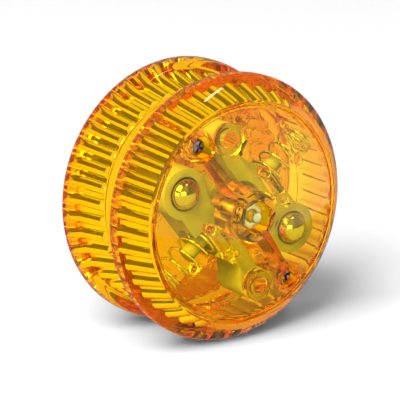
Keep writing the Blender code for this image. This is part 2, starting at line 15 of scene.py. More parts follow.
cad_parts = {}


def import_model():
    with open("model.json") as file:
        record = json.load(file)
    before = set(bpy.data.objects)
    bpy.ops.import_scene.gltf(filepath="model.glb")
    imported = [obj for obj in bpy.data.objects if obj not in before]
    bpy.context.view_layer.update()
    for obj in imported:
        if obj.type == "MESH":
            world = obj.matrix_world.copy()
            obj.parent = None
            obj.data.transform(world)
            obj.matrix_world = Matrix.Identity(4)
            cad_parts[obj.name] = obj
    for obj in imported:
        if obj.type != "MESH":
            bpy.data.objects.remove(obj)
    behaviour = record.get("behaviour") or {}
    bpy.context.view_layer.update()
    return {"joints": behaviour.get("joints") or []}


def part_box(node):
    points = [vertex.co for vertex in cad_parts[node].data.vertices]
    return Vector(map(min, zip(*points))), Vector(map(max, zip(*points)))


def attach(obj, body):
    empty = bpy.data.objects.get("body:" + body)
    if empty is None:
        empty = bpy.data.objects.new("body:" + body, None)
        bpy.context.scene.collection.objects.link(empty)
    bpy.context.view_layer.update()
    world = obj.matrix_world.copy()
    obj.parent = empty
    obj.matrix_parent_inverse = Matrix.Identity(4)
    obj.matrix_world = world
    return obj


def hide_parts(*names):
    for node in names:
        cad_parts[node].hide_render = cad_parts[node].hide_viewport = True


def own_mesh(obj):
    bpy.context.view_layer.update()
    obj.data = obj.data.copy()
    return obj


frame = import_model()

MM = 0.001


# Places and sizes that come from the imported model


def middle(node):
    low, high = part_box(node)
    return (low + high) / 2


def extent(node):
    low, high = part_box(node)
    return high - low


def joint_place(name):
    found = [joint for joint in frame["joints"] if joint["name"] == name]
    return Vector(found[0]["pos_m"])


SCREW_MIDDLE = middle("front_screw_upper")
CLUTCH_ANGLE = math.atan2(SCREW_MIDDLE.z, SCREW_MIDDLE.x) - math.pi / 2
TURN = Matrix.Rotation(CLUTCH_ANGLE, 4, "Z")
FRONT = Matrix.Rotation(math.pi / 2, 4, "X") @ TURN
REAR = Matrix.Rotation(-math.pi / 2, 4, "X") @ Matrix.Rotation(math.pi, 4, "Z") @ TURN
TO_FRONT = FRONT.inverted()

RIM_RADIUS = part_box("front_shell")[1].z
HALF_WIDTH = -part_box("front_cap")[0].y
GAP_HALF = -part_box("front_shell")[1].y
MOUTH_HEIGHT = -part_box("front_shell")[0].y
CAP_RADIUS = extent("front_cap").z / 2
CAP_LOW = 13.8 * MM
HUB_LOW = -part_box("front_cap")[1].y
SCREW_DISTANCE = math.hypot(SCREW_MIDDLE.x, SCREW_MIDDLE.z)
SCREW_LOW = -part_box("front_screw_upper")[1].y
SCREW_HIGH = -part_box("front_screw_upper")[0].y
PIVOT_PLACE = joint_place("upper_arm_swing")
PIVOT = TO_FRONT @ PIVOT_PLACE
BALL_CENTRE = TO_FRONT @ middle("weight_ball_upper")
BALL_RADIUS = extent("weight_ball_upper").z / 2
ARM_LOW = -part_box("clutch_arm_upper")[1].y
ARM_HIGH = -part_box("clutch_arm_upper")[0].y
AXLE_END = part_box("axle")[1].y
AXLE_RADIUS = extent("axle").z / 2
NUT_LOW = -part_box("front_axle_nut")[1].y
NUT_HIGH = -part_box("front_axle_nut")[0].y
SPRING_HEIGHT = (TO_FRONT @ middle("clutch_spring_upper")).z
DRUM_RADIUS = extent("string_spool").z / 2
DRUM_HIGH = -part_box("string_spool")[0].y
COLLAR_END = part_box("string_spool")[1].y
SLEEVE_RADIUS = extent("axle_sleeve").z / 2
SLEEVE_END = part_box("axle_sleeve")[1].y

CLEARANCE = 0.3 * MM

# Shell
FLAT_RADIUS = 15.0 * MM
RIM_ROUNDING = 4.0 * MM
CREST_LOW = 8.7 * MM
CREST_HIGH = 10.1 * MM
SEAT_RADIUS = CAP_RADIUS + CLEARANCE
MOUTH_RADIUS = SEAT_RADIUS + 0.4 * MM
SHOULDER_POWER = 1.2
FLOOR_THICKNESS = 1.5 * MM
CAVITY_RADIUS = 21.9 * MM
LEDGE_HEIGHT = CAP_LOW - CLEARANCE
FLUTE_COUNT = 40
FLUTE_LAND_RADIUS = 22.3 * MM
FLUTE_CENTRE_RADIUS = 21.65 * MM
FLUTE_RADIUS = 1.5 * MM
FLUTE_LOW = 4.2 * MM
HOLE_EDGE = 0.2 * MM
MOUTH_EDGE = 0.1 * MM

# Cap
CAP_THICKNESS = 1.8 * MM
CAP_SKIRT = 1.3 * MM
DOME_RISE = HALF_WIDTH - MOUTH_HEIGHT
CAP_EDGE = 0.25 * MM
HUB_RADIUS = 5.4 * MM
HUB_EDGE = 0.1 * MM
AXLE_HOLE = AXLE_RADIUS + CLEARANCE
POCKET_LOW = NUT_LOW - CLEARANCE
POCKET_FLATS_LOW = 5.7 * MM
POCKET_FLATS_HIGH = 6.6 * MM
POCKET_TURN = math.radians(15.0)
RIB_THICKNESS = 1.6 * MM
BAR_DISTANCE = 8.3 * MM
BAR_POST_OFFSET = 3.7 * MM
BAR_POST_RADIUS = 1.3 * MM
BAR_WEB = 1.8 * MM
BAR_LOW = 13.5 * MM
PEG_DISTANCE = 16.0 * MM
PEG_RADIUS = 1.1 * MM
PEG_LOW = 13.8 * MM
HANGER_EDGE = 0.2 * MM
BAR_POST_EDGE = 0.3 * MM

# Screws and what holds them
PILLAR_RADIUS = 3.3 * MM
PILLAR_HIGH = 11.2 * MM
BOSS_RADIUS = 3.4 * MM
BOSS_LOW = PILLAR_HIGH + CLEARANCE
WELL_RADIUS = 2.4 * MM
SCREW_HEAD_HEIGHT = 1.3 * MM
WELL_LOW = SCREW_HIGH - SCREW_HEAD_HEIGHT - CLEARANCE
SCREW_HEAD_RADIUS = extent("front_screw_upper").z / 2
SCREW_HEAD_ROUNDING = 0.6 * SCREW_HEAD_HEIGHT
SCREW_HEAD_INSET = 0.25 * MM
SCREW_SHANK_RADIUS = 1.2 * MM
SCREW_NECK = 0.5 * MM
SCREW_THREAD_DEPTH = 0.3 * MM
SCREW_THREAD_PITCH = 0.8 * MM
RECESS_LENGTH = 2.5 * MM
RECESS_WIDTH = 0.56 * MM
RECESS_DEPTH = 0.8 * MM
UPPER_SCREW_SPIN = math.radians(27.0)
LOWER_SCREW_SPIN = math.radians(64.0)
SCREW_HOLE = SCREW_SHANK_RADIUS + CLEARANCE

# Axle and nuts
AXLE_CHAMFER = 0.3 * MM
AXLE_THREAD_DEPTH = 0.15 * MM
AXLE_THREAD_PITCH = 0.5 * MM
NUT_FLATS = 5.0 * MM
NUT_CROWN = NUT_FLATS / 2 + 0.15 * MM
NUT_REACH = 0.7 * NUT_FLATS
NUT_CHAMFER = 0.45 * MM
NUT_SINK = 0.25 * MM
NUT_THREAD = AXLE_RADIUS + 0.03 * MM

# Spool and rear boss
STRING_SEAT_RADIUS = 3.4 * MM
STRING_SEAT_HALF = GAP_HALF + CLEARANCE
COLLAR_RADIUS = 4.5 * MM
SPOOL_BORE = SLEEVE_RADIUS + CLEARANCE
DRUM_HOLE = DRUM_RADIUS + 0.4 * MM
COLLAR_HOLE = COLLAR_RADIUS + 0.4 * MM
REAR_BOSS_RADIUS = 7.0 * MM
REAR_BOSS_STEP = COLLAR_END + 1.1 * MM
REAR_BOSS_HIGH = 9.4 * MM

# Clutch
POST_RADIUS = 1.7 * MM
POST_HIGH = 14.0 * MM
SOCKET_RADIUS = 3.4 * MM
SOCKET_HOLE = POST_RADIUS + CLEARANCE
EYE_RADIUS = 3.4 * MM
PAD_RADIUS = DRUM_RADIUS + CLEARANCE
ARM_HEAD_RADIUS = 5.4 * MM
ARM_BACK = [
    (11.3 * MM, -6.2 * MM),
    (11.2 * MM, -1.0 * MM),
    (10.7 * MM, 2.2 * MM),
    (8.9 * MM, 5.2 * MM),
    (7.4 * MM, 7.6 * MM),
    (6.9 * MM, 9.8 * MM),
]
ARM_NECK = [(3.4 * MM, 9.8 * MM)]
# First angle and last angle in degrees, and steps
HEAD_ARC = (140.0, 406.0, 50)
EYE_ARC = (-40.0, 220.0, 40)
PAD_ARC = (55.0, -50.0, 30)
BALL_FIT = 0.08 * MM
SPRING_COIL_RADIUS = 3.2 * MM
SPRING_WIRE_RADIUS = 0.3 * MM
SPRING_INNER = 9.2 * MM
SPRING_OUTER = 21.4 * MM
SPRING_CLOSED_PITCH = 0.9 * MM
SPRING_CLOSED_TURNS_INNER = 0.75
SPRING_CLOSED_TURNS_OUTER = 1.5
SPRING_ACTIVE_TURNS = 3.5
# Room round the coil for the arm's swing
SPRING_POCKET_RADIUS = 4.35 * MM
SPRING_POCKET_INNER = SPRING_INNER - CLEARANCE - SPRING_WIRE_RADIUS
SPRING_POCKET_LENGTH = 5.0 * MM
STUB_RADIUS = 1.6 * MM
STUB_END = 14.2 * MM

# How far a cutter reaches past what it cuts, and a joined piece into what it joins
OVERSHOOT = 1.0 * MM
JOIN_BITE = 0.2 * MM
RIB_BITE = 0.6 * MM

# Facets
SHOULDER_STEPS = 20
FLARE_STEPS = 12
INNER_FLARE_STEPS = 10
FLUTE_STEPS = 5
DOME_STEPS = 24
COIL_STEPS = 40


# Materials. A tint colours each surface that the light goes through.

AMBER_CLEAR = (0.998, 0.965, 0.0)
AMBER_DENSITY = 500.0
AMBER_SHINE = (1.0, 0.82, 0.50)
SHELL_TINT = (0.98, 0.76, 0.22)
# Painted shade: the rim is a deeper orange than the rest of the shell, standing in for light's long path
# through it.
RIM_PAINTED_SHADE = (1.0, 0.44, 0.07)
# Painted light: the cavity floor is a paler amber than the rest of the shell.
FLOOR_PAINTED_LIGHT = (1.0, 0.86, 0.34)
CAP_TINT = (0.98, 0.86, 0.34)
# Painted shade: the hub, bosses and what hangs under the dome are a deeper orange than the cap, for light's
# long path through them.
HANGER_PAINTED_SHADE = (1.0, 0.80, 0.26)
# Painted shade: the ribs are a still deeper red-orange.
RIB_PAINTED_SHADE = (0.98, 0.36, 0.05)
LAMP_TINT = (0.98, 0.92, 0.60)
POLYSTYRENE_IOR = 1.49

# Margin that a mask keeps round what it covers, and the floor's share of the cavity
MASK_MARGIN = 0.05 * MM
FLOOR_MARGIN = 2.5 * MM
FLOOR_RISE = 2.0 * MM

# Noise scales, in cycles a metre
STREAK_SCALE = 220.0
HAZE_SCALE = 900.0
FLOW_SCALE = 120.0
PEBBLE_SCALE = 650.0
CLOUD_SCALE = 500.0
GRAIN_SCALE = 2500.0
STAIN_SCALE = 400.0
FIBRE_SCALE = 300.0


def new_material(name):
    made = bpy.data.materials.new(name)
    made.use_nodes = True
    nodes = made.node_tree.nodes
    return made, nodes, made.node_tree.links, nodes["Principled BSDF"]


def noise_node(nodes, links, scale, detail=3.0, roughness=0.5):
    place = nodes.new("ShaderNodeTexCoord")
    texture = nodes.new("ShaderNodeTexNoise")
    texture.inputs["Scale"].default_value = scale
    texture.inputs["Detail"].default_value = detail
    texture.inputs["Roughness"].default_value = roughness
    links.new(place.outputs["Object"], texture.inputs["Vector"])
    return texture


def remap(nodes, links, source, low, high, start=0.3, end=0.7):
    spread = nodes.new("ShaderNodeMapRange")
    spread.inputs["From Min"].default_value = start
    spread.inputs["From Max"].default_value = end
    spread.inputs["To Min"].default_value = low
    spread.inputs["To Max"].default_value = high
    links.new(source, spread.inputs["Value"])
    return spread.outputs["Result"]


def bump(nodes, links, source, shader, strength, distance):
    made = nodes.new("ShaderNodeBump")
    made.inputs["Strength"].default_value = strength
    made.inputs["Distance"].default_value = distance
    links.new(source, made.inputs["Height"])
    links.new(made.outputs["Normal"], shader.inputs["Normal"])


def calc(nodes, links, operation, *values):
    """A Math node on sockets and plain numbers."""
    made = nodes.new("ShaderNodeMath")
    made.operation = operation
    for socket, value in zip(made.inputs, values):
        if isinstance(value, bpy.types.NodeSocket):
            links.new(value, socket)
        else:
            socket.default_value = value
    return made.outputs["Value"]


def product(nodes, links, *values):
    """Multiplies sockets and plain numbers."""
    result = values[0]
    for value in values[1:]:
        result = calc(nodes, links, "MULTIPLY", result, value)
    return result


def square_sum(nodes, links, x, z):
    return calc(nodes, links, "ADD", product(nodes, links, x, x), product(nodes, links, z, z))


def places(nodes, links):
    """Squared distance from the axle, height out from the gap, and the two coordinates across the axle."""
    coordinates = nodes.new("ShaderNodeTexCoord")
    split = nodes.new("ShaderNodeSeparateXYZ")
    links.new(coordinates.outputs["Object"], split.inputs["Vector"])
    x, y, z = split.outputs["X"], split.outputs["Y"], split.outputs["Z"]
    return square_sum(nodes, links, x, z), calc(nodes, links, "ABSOLUTE", y), x, z


def near(nodes, links, x, z, point, radius):
    """1 within radius of an axis through the point, or through its mirror across the axle, else 0."""
    along = calc(nodes, links, "ADD", product(nodes, links, x, point.x), product(nodes, links, z, point.z))
    twice = product(nodes, links, calc(nodes, links, "ABSOLUTE", along), 2.0)
    away = calc(nodes, links, "SUBTRACT", square_sum(nodes, links, x, z), twice)
    return calc(nodes, links, "LESS_THAN", away, radius**2 - point.x**2 - point.z**2)


# Masks where painted shade deepens the cap's orange.
def hanger_mask(nodes, links):
    """1 on the hub, on all that hangs under the dome and round the axes of the front screws, else 0."""
    square, height, x, z = places(nodes, links)
    fall = product(nodes, links, square, -DOME_RISE / SEAT_RADIUS**2)
    ceiling = calc(nodes, links, "ADD", fall, HALF_WIDTH - CAP_THICKNESS - 3 * MASK_MARGIN)
    below = calc(nodes, links, "GREATER_THAN", ceiling, height)
    inside = calc(nodes, links, "LESS_THAN", square, (CAP_RADIUS - CAP_SKIRT - 2 * MASK_MARGIN) ** 2)
    bore = near(nodes, links, x, z, PIVOT_PLACE, SOCKET_HOLE + MASK_MARGIN)
    hanging = product(nodes, links, below, inside, calc(nodes, links, "SUBTRACT", 1.0, bore))
    hub = calc(nodes, links, "LESS_THAN", square, (HUB_RADIUS + MASK_MARGIN) ** 2)
    boss = near(nodes, links, x, z, SCREW_MIDDLE, BOSS_RADIUS + MASK_MARGIN)
    return calc(nodes, links, "MAXIMUM", calc(nodes, links, "MAXIMUM", hanging, hub), boss)


# Masks where the deepest painted shade goes.
def rib_mask(nodes, links):
    """1 on the front cap's ribs between the hub and the screw bosses, else 0."""
    square, _, x, z = places(nodes, links)
    across = calc(
        nodes,
        links,
        "ADD",
        product(nodes, links, x, -SCREW_MIDDLE.z / SCREW_DISTANCE),
        product(nodes, links, z, SCREW_MIDDLE.x / SCREW_DISTANCE),
    )
    reach = RIB_THICKNESS / 2 + MASK_MARGIN
    thin = calc(nodes, links, "LESS_THAN", calc(nodes, links, "ABSOLUTE", across), reach)
    clear = calc(nodes, links, "GREATER_THAN", square, (HUB_RADIUS + MASK_MARGIN) ** 2)
    return product(nodes, links, thin, clear, hanger_mask(nodes, links))


# Masks where painted shade deepens the shell's orange towards the rim.
def rim_mask(nodes, links):
    """Rises from 0 on the shoulder to 1 at the rim."""
    square = places(nodes, links)[0]
    spread = nodes.new("ShaderNodeMapRange")
    spread.interpolation_type = "SMOOTHSTEP"
    spread.inputs["From Min"].default_value = MOUTH_RADIUS
    spread.inputs["From Max"].default_value = RIM_RADIUS
    links.new(calc(nodes, links, "SQRT", square), spread.inputs["Value"])
    return spread.outputs["Result"]


# Masks where painted light makes the cavity floor paler, and where the floor is hammered.
def floor_mask(nodes, links):
    """1 on the floor inside the cavity, else 0."""
    square, height, _, _ = places(nodes, links)
    within = calc(nodes, links, "LESS_THAN", square, (CAVITY_RADIUS - FLOOR_MARGIN) ** 2)
    raised = calc(nodes, links, "GREATER_THAN", height, GAP_HALF + FLOOR_THICKNESS / 2)
    low = calc(nodes, links, "LESS_THAN", height, GAP_HALF + FLOOR_THICKNESS + FLOOR_RISE)
    return product(nodes, links, within, raised, low)


def amber_plastic(name, tint, zones, pebbled=False):
    """Clear polystyrene, coloured through: thin walls look golden and long paths through it go orange.

    Each zone is a colour of its own and the function for its mask: painted shade or painted light, a deeper
    or paler copy of the same plastic. Lamps reach what is behind the plastic, tinted. The inner face of a
    pebbled piece's floor is hammered.
    """
    made, nodes, links, shader = new_material(name)
    shader.inputs["Transmission Weight"].default_value = 1.0
    shader.inputs["IOR"].default_value = POLYSTYRENE_IOR
    shader.inputs["Specular Tint"].default_value = (*AMBER_SHINE, 1.0)
    streak = noise_node(nodes, links, STREAK_SCALE, 3.0)
    body = nodes.new("ShaderNodeMix")
    body.data_type = "RGBA"
    body.inputs["A"].default_value = (*tint, 1.0)
    body.inputs["B"].default_value = (tint[0], 0.93 * tint[1], 0.8 * tint[2], 1.0)
    links.new(remap(nodes, links, streak.outputs["Fac"], 0.0, 1.0), body.inputs["Factor"])
    colour = body.outputs["Result"]
    for zone_tint, mask in zones:
        zone = nodes.new("ShaderNodeMix")
        zone.data_type = "RGBA"
        zone.inputs["B"].default_value = (*zone_tint, 1.0)
        links.new(colour, zone.inputs["A"])
        links.new(mask(nodes, links), zone.inputs["Factor"])
        colour = zone.outputs["Result"]
    links.new(colour, shader.inputs["Base Color"])
    haze = noise_node(nodes, links, HAZE_SCALE, 4.0)
    links.new(remap(nodes, links, haze.outputs["Fac"], 0.0, 0.05), shader.inputs["Roughness"])
    flow = noise_node(nodes, links, FLOW_SCALE, 2.0)
    height = product(nodes, links, flow.outputs["Fac"], 0.12)
    if pebbled:
        pebbles = noise_node(nodes, links, PEBBLE_SCALE, 1.0)
        raised = product(nodes, links, pebbles.outputs["Fac"], floor_mask(nodes, links), 0.6)
        height = calc(nodes, links, "ADD", height, raised)
    bump(nodes, links, height, shader, 1.0, 0.3 * MM)
    volume = nodes.new("ShaderNodeVolumeAbsorption")
    volume.inputs["Color"].default_value = (*AMBER_CLEAR, 1.0)
    volume.inputs["Density"].default_value = AMBER_DENSITY
    output = nodes["Material Output"]
    links.new(volume.outputs["Volume"], output.inputs["Volume"])
    path = nodes.new("ShaderNodeLightPath")
    behind = calc(nodes, links, "GREATER_THAN", path.outputs["Transmission Depth"], 0.5)
    lamp = calc(nodes, links, "MULTIPLY", path.outputs["Is Shadow Ray"], behind)
    clear = nodes.new("ShaderNodeBsdfTransparent")
    clear.inputs["Color"].default_value = (*LAMP_TINT, 1.0)
    mix = nodes.new("ShaderNodeMixShader")
    links.new(lamp, mix.inputs["Fac"])
    links.new(shader.outputs["BSDF"], mix.inputs[1])
    links.new(clear.outputs["BSDF"], mix.inputs[2])
    links.new(mix.outputs["Shader"], output.inputs["Surface"])
    return made


def pale_plastic(name, dark, light, roughness):
    """Natural acetal or nylon: nearly white, waxy, with faint cloudy mottling."""
    made, nodes, links, shader = new_material(name)
    cloud = noise_node(nodes, links, CLOUD_SCALE, 4.0)
    mix = nodes.new("ShaderNodeMix")
    mix.data_type = "RGBA"
    mix.inputs["A"].default_value = (*dark, 1.0)
    mix.inputs["B"].default_value = (*light, 1.0)
    links.new(remap(nodes, links, cloud.outputs["Fac"], 0.0, 1.0), mix.inputs["Factor"])
    links.new(mix.outputs["Result"], shader.inputs["Base Color"])
    shader.inputs["Subsurface Weight"].default_value = 0.25
    shader.inputs["Subsurface Radius"].default_value = (1.0, 0.8, 0.5)
    shader.inputs["Subsurface Scale"].default_value = 1.0 * MM
    grain = noise_node(nodes, links, GRAIN_SCALE, 3.0)
    links.new(
        remap(nodes, links, grain.outputs["Fac"], roughness - 0.08, roughness + 0.08),
        shader.inputs["Roughness"],
    )
    bump(nodes, links, grain.outputs["Fac"], shader, 0.15, 0.03 * MM)
    return made


def steel(name, colour, roughness, spread, scale, depth):
    """Bare or plated steel with uneven roughness and fine marks at the given scale."""
    made, nodes, links, shader = new_material(name)
    shader.inputs["Metallic"].default_value = 1.0
    stain = noise_node(nodes, links, STAIN_SCALE, 4.0)
    mix = nodes.new("ShaderNodeMix")
    mix.data_type = "RGBA"
    mix.inputs["A"].default_value = (*[0.82 * c for c in colour], 1.0)
    mix.inputs["B"].default_value = (*colour, 1.0)
    links.new(remap(nodes, links, stain.outputs["Fac"], 0.0, 1.0), mix.inputs["Factor"])
    links.new(mix.outputs["Result"], shader.inputs["Base Color"])
    marks = noise_node(nodes, links, scale, 5.0)
    links.new(
        remap(nodes, links, marks.outputs["Fac"], roughness, roughness + spread),
        shader.inputs["Roughness"],
    )
    bump(nodes, links, marks.outputs["Fac"], shader, 0.2, depth)
    return made


# Mesh making


def link(name, mesh):
    obj = bpy.data.objects.new(name, mesh)
    bpy.context.scene.collection.objects.link(obj)
    return obj


def from_bmesh(name, shape):
    bmesh.ops.recalc_face_normals(shape, faces=shape.faces)
    mesh = bpy.data.meshes.new(name)
    shape.to_mesh(mesh)
    shape.free()
    return link(name, mesh)


def arc(centre, radius, start, end, steps):
    """Points on a circle from one angle in degrees to another, both ends included."""
    angles = [math.radians(start + (end - start) * i / steps) for i in range(steps + 1)]
    return [(centre[0] + radius * math.cos(a), centre[1] + radius * math.sin(a)) for a in angles]


def even_angles(count):
    return [2 * math.pi * i / count for i in range(count)]


def lathe(name, rows, angles, closed=True, centre=(0.0, 0.0)):
    """A solid of revolution about Z. Each row is a radius, or a function of the angle, and a height."""
    shape = bmesh.new()
    columns = []
    for angle in angles:
        column = []
        for radius, height in rows:
            reach = radius(angle) if callable(radius) else radius
            x = centre[0] + reach * math.cos(angle)
            y = centre[1] + reach * math.sin(angle)
            column.append(shape.verts.new((x, y, height)))
        columns.append(column)
    spans = len(rows) if closed else len(rows) - 1
    for i, column in enumerate(columns):
        after = columns[(i + 1) % len(columns)]
        for j in range(spans):
            k = (j + 1) % len(rows)
            shape.faces.new((column[j], after[j], after[k], column[k]))
    bmesh.ops.remove_doubles(shape, verts=shape.verts, dist=1e-7)
    return from_bmesh(name, shape)


def pin(name, radius, low, high, centre=(0.0, 0.0), edge=0.0, sides=64):
    """A round bar along Z, its lower edge rounded by edge."""
    rows = [(0.0, high), (radius, high)]
    if edge > 0:
        rows += arc((radius - edge, low + edge), edge, 0.0, -90.0, 4)
    else:
        rows.append((radius, low))
    rows.append((0.0, low))
    return lathe(name, rows, even_angles(sides), closed=False, centre=centre)


def hexagon(name, flats_low, flats_high, low, high, turn):
    shape = bmesh.new()
    corner = 1 / math.sqrt(3)
    place = Matrix.Translation((0.0, 0.0, (low + high) / 2)) @ Matrix.Rotation(turn, 4, "Z")
    bmesh.ops.create_cone(
        shape,
        cap_ends=True,
        segments=6,
        radius1=flats_low * corner,
        radius2=flats_high * corner,
        depth=high - low,
        matrix=place,
    )
    return from_bmesh(name, shape)


def block(name, low, high):
    shape = bmesh.new()
    size = Vector(high) - Vector(low)
    place = Matrix.Translation((Vector(high) + Vector(low)) / 2)
    bmesh.ops.create_cube(shape, size=1.0, matrix=place @ Matrix.Diagonal((*size, 1.0)))
    return from_bmesh(name, shape)


def plate(name, points, low, high):
    """A flat outline given thickness between two heights."""
    shape = bmesh.new()
    base = shape.faces.new([shape.verts.new((x, y, low)) for x, y in points])
    grown = bmesh.ops.extrude_face_region(shape, geom=[base])
    raised = [item for item in grown["geom"] if isinstance(item, bmesh.types.BMVert)]
    bmesh.ops.translate(shape, verts=raised, vec=(0.0, 0.0, high - low))
    return from_bmesh(name, shape)


def apply_modifiers(obj):
    graph = bpy.context.evaluated_depsgraph_get()
    mesh = bpy.data.meshes.new_from_object(obj.evaluated_get(graph))
    obj.modifiers.clear()
    old = obj.data
    obj.data = mesh
    bpy.data.meshes.remove(old)


def combine(obj, tools):
    """Joins to obj, or cuts from it, each tool of a list of (tool, operation), and removes the tools."""
    for tool, operation in tools:
        modifier = obj.modifiers.new(tool.name, "BOOLEAN")
        modifier.operation = operation
        modifier.object = tool
        modifier.solver = "EXACT"
    apply_modifiers(obj)
    for tool, _ in tools:
        bpy.data.objects.remove(tool)


def round_edges(obj, width, segments=3, angle=35.0):
    modifier = obj.modifiers.new("edges", "BEVEL")
    modifier.width = width
    modifier.segments = segments
    modifier.limit_method = "ANGLE"
    modifier.angle_limit = math.radians(angle)
    apply_modifiers(obj)


def finish_piece(obj, matrix, material, node, body, sharp=32.0):
    """Carries a piece into the row frame, gives it its surface and body, and hides the node it stands for.
    """
    obj.data.transform(matrix)
    obj.data.shade_smooth()
    obj.data.set_sharp_from_angle(angle=math.radians(sharp))
    obj.data.materials.clear()
    obj.data.materials.append(material)
    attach(obj, body)
    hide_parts(node)


# Shells


def flare_radius():
    """Radius of the arc that leaves the flat gap wall and runs into the rim's rounding."""
    across = RIM_RADIUS - RIM_ROUNDING - FLAT_RADIUS
    up = CREST_LOW - GAP_HALF
    return (across**2 + up**2 - RIM_ROUNDING**2) / (2 * (up - RIM_ROUNDING))


def shell_outside(hole):
    """The outer side, from the mouth over the shoulder and the rim down to the centre hole."""
    rows = []
    for i in range(SHOULDER_STEPS + 1):
        t = math.pi / 2 * (1 - i / SHOULDER_STEPS)
        radius = MOUTH_RADIUS + (RIM_RADIUS - MOUTH_RADIUS) * math.cos(t) ** (2 / SHOULDER_POWER)
        height = CREST_HIGH + (MOUTH_HEIGHT - CREST_HIGH) * math.sin(t) ** (2 / SHOULDER_POWER)
        rows.append((radius, height))
    across = RIM_RADIUS - RIM_ROUNDING - FLAT_RADIUS
    turn = math.degrees(math.asin(across / (flare_radius() - RIM_ROUNDING)))
    rows += arc((RIM_RADIUS - RIM_ROUNDING, CREST_LOW), RIM_ROUNDING, 0.0, turn - 90.0, FLARE_STEPS)
    flare = arc((FLAT_RADIUS, GAP_HALF + flare_radius()), flare_radius(), turn - 90.0, -90.0, FLARE_STEPS)
    rows += flare[1:]
    rows += [(hole + HOLE_EDGE, GAP_HALF), (hole, GAP_HALF + HOLE_EDGE)]
    return rows


def flute_angles():
    """Angles of the lathe's columns: close round each flute's bottom, one on each land."""
    pitch = 2 * math.pi / FLUTE_COUNT
    reach = (FLUTE_CENTRE_RADIUS**2 + FLUTE_LAND_RADIUS**2 - FLUTE_RADIUS**2) / (
        2 * FLUTE_CENTRE_RADIUS * FLUTE_LAND_RADIUS
    )
    edge = math.acos(reach)
    side = FLUTE_LAND_RADIUS * math.sin(edge)
    opening = math.atan2(side, FLUTE_LAND_RADIUS * math.cos(edge) - FLUTE_CENTRE_RADIUS)
    angles = []
    for i in range(FLUTE_COUNT):
        centre = pitch * (i + 0.5)
        angles.append(centre - pitch / 2)
        for step in range(2 * FLUTE_STEPS + 1):
            a = opening * (step / FLUTE_STEPS - 1)
            across = FLUTE_RADIUS * math.sin(a)
            out = FLUTE_CENTRE_RADIUS + FLUTE_RADIUS * math.cos(a)
            angles.append(centre + math.atan2(across, out))
    return angles


def flute_wall(angle):
    """Radius of the fluted wall at an angle."""
    pitch = 2 * math.pi / FLUTE_COUNT
    offset = (angle % pitch) - pitch / 2
    across = FLUTE_CENTRE_RADIUS * math.sin(offset)
    left = FLUTE_RADIUS**2 - across**2
    if left <= 0:
        return FLUTE_LAND_RADIUS
    bottom = FLUTE_CENTRE_RADIUS * math.cos(offset) + math.sqrt(left)
    return max(bottom, FLUTE_LAND_RADIUS)


def shell_inside():
    """The inner side, from the edge of the flat floor out to the fluted wall and up to the mouth."""
    radius = flare_radius() - FLOOR_THICKNESS
    turn = math.degrees(math.asin((CAVITY_RADIUS - FLAT_RADIUS) / radius))
    centre = (FLAT_RADIUS, GAP_HALF + flare_radius())
    rows = arc(centre, radius, -90.0, turn - 90.0, INNER_FLARE_STEPS)
    rows += [(CAVITY_RADIUS, FLUTE_LOW - 0.3 * MM), (FLUTE_LAND_RADIUS, FLUTE_LOW - 0.1 * MM)]
    rows += [(FLUTE_LAND_RADIUS, FLUTE_LOW), (flute_wall, FLUTE_LOW + 0.2 * MM)]
    rows.append((flute_wall, LEDGE_HEIGHT))
    rows += [(SEAT_RADIUS, LEDGE_HEIGHT), (SEAT_RADIUS, MOUTH_HEIGHT - MOUTH_EDGE)]
    rows.append((SEAT_RADIUS + MOUTH_EDGE, MOUTH_HEIGHT))
    return rows


def shell(name, matrix, floor_rows, hole, with_posts):
    """A fluted shell with pillars for its screws, pockets for the cap's bosses and, in front, two posts."""
    rows = shell_outside(hole) + floor_rows + shell_inside()
    obj = lathe(name, rows, flute_angles())
    low = GAP_HALF + FLOOR_THICKNESS - JOIN_BITE
    tools = []
    for side in (1, -1):
        centre = (0.0, side * SCREW_DISTANCE)
        tools.append((pin("pillar", PILLAR_RADIUS, low, PILLAR_HIGH, centre), "UNION"))
        top = LEDGE_HEIGHT + OVERSHOOT
        tools.append((pin("pocket", BOSS_RADIUS + CLEARANCE, PILLAR_HIGH, top, centre), "DIFFERENCE"))
        bottom = SCREW_LOW - CLEARANCE
        tools.append((pin("pilot", SCREW_HOLE, bottom, PILLAR_HIGH + OVERSHOOT, centre), "DIFFERENCE"))
        if with_posts:
            centre = (side * PIVOT.x, side * PIVOT.y)
            tools.append((pin("post", POST_RADIUS, low - OVERSHOOT, POST_HIGH, centre), "UNION"))
    combine(obj, tools)
    # Painted shade on the rim and painted light on the cavity floor.
    zones = [(RIM_PAINTED_SHADE, rim_mask), (FLOOR_PAINTED_LIGHT, floor_mask)]
    look = amber_plastic(f"{name}_amber", SHELL_TINT, zones, pebbled=True)
    finish_piece(obj, matrix, look, name, "halves", 25.0)


def front_shell():
    floor_rows = [(DRUM_HOLE, GAP_HALF + FLOOR_THICKNESS)]
    shell("front_shell", FRONT, floor_rows, DRUM_HOLE, True)


def rear_shell():
    floor_rows = [
        (COLLAR_HOLE, REAR_BOSS_STEP),
        (SPOOL_BORE, REAR_BOSS_STEP),
        (SPOOL_BORE, REAR_BOSS_HIGH),
        (REAR_BOSS_RADIUS, REAR_BOSS_HIGH),
        (REAR_BOSS_RADIUS, GAP_HALF + FLOOR_THICKNESS),
    ]
    shell("rear_shell", REAR, floor_rows, COLLAR_HOLE, False)


# Caps


def dome(radius):
    return MOUTH_HEIGHT + DOME_RISE * (1 - (radius / SEAT_RADIUS) ** 2)


def dome_rows(start, end, drop):
    radii = [start + (end - start) * i / DOME_STEPS for i in range(DOME_STEPS + 1)]
    return [(radius, dome(radius) - drop) for radius in radii]


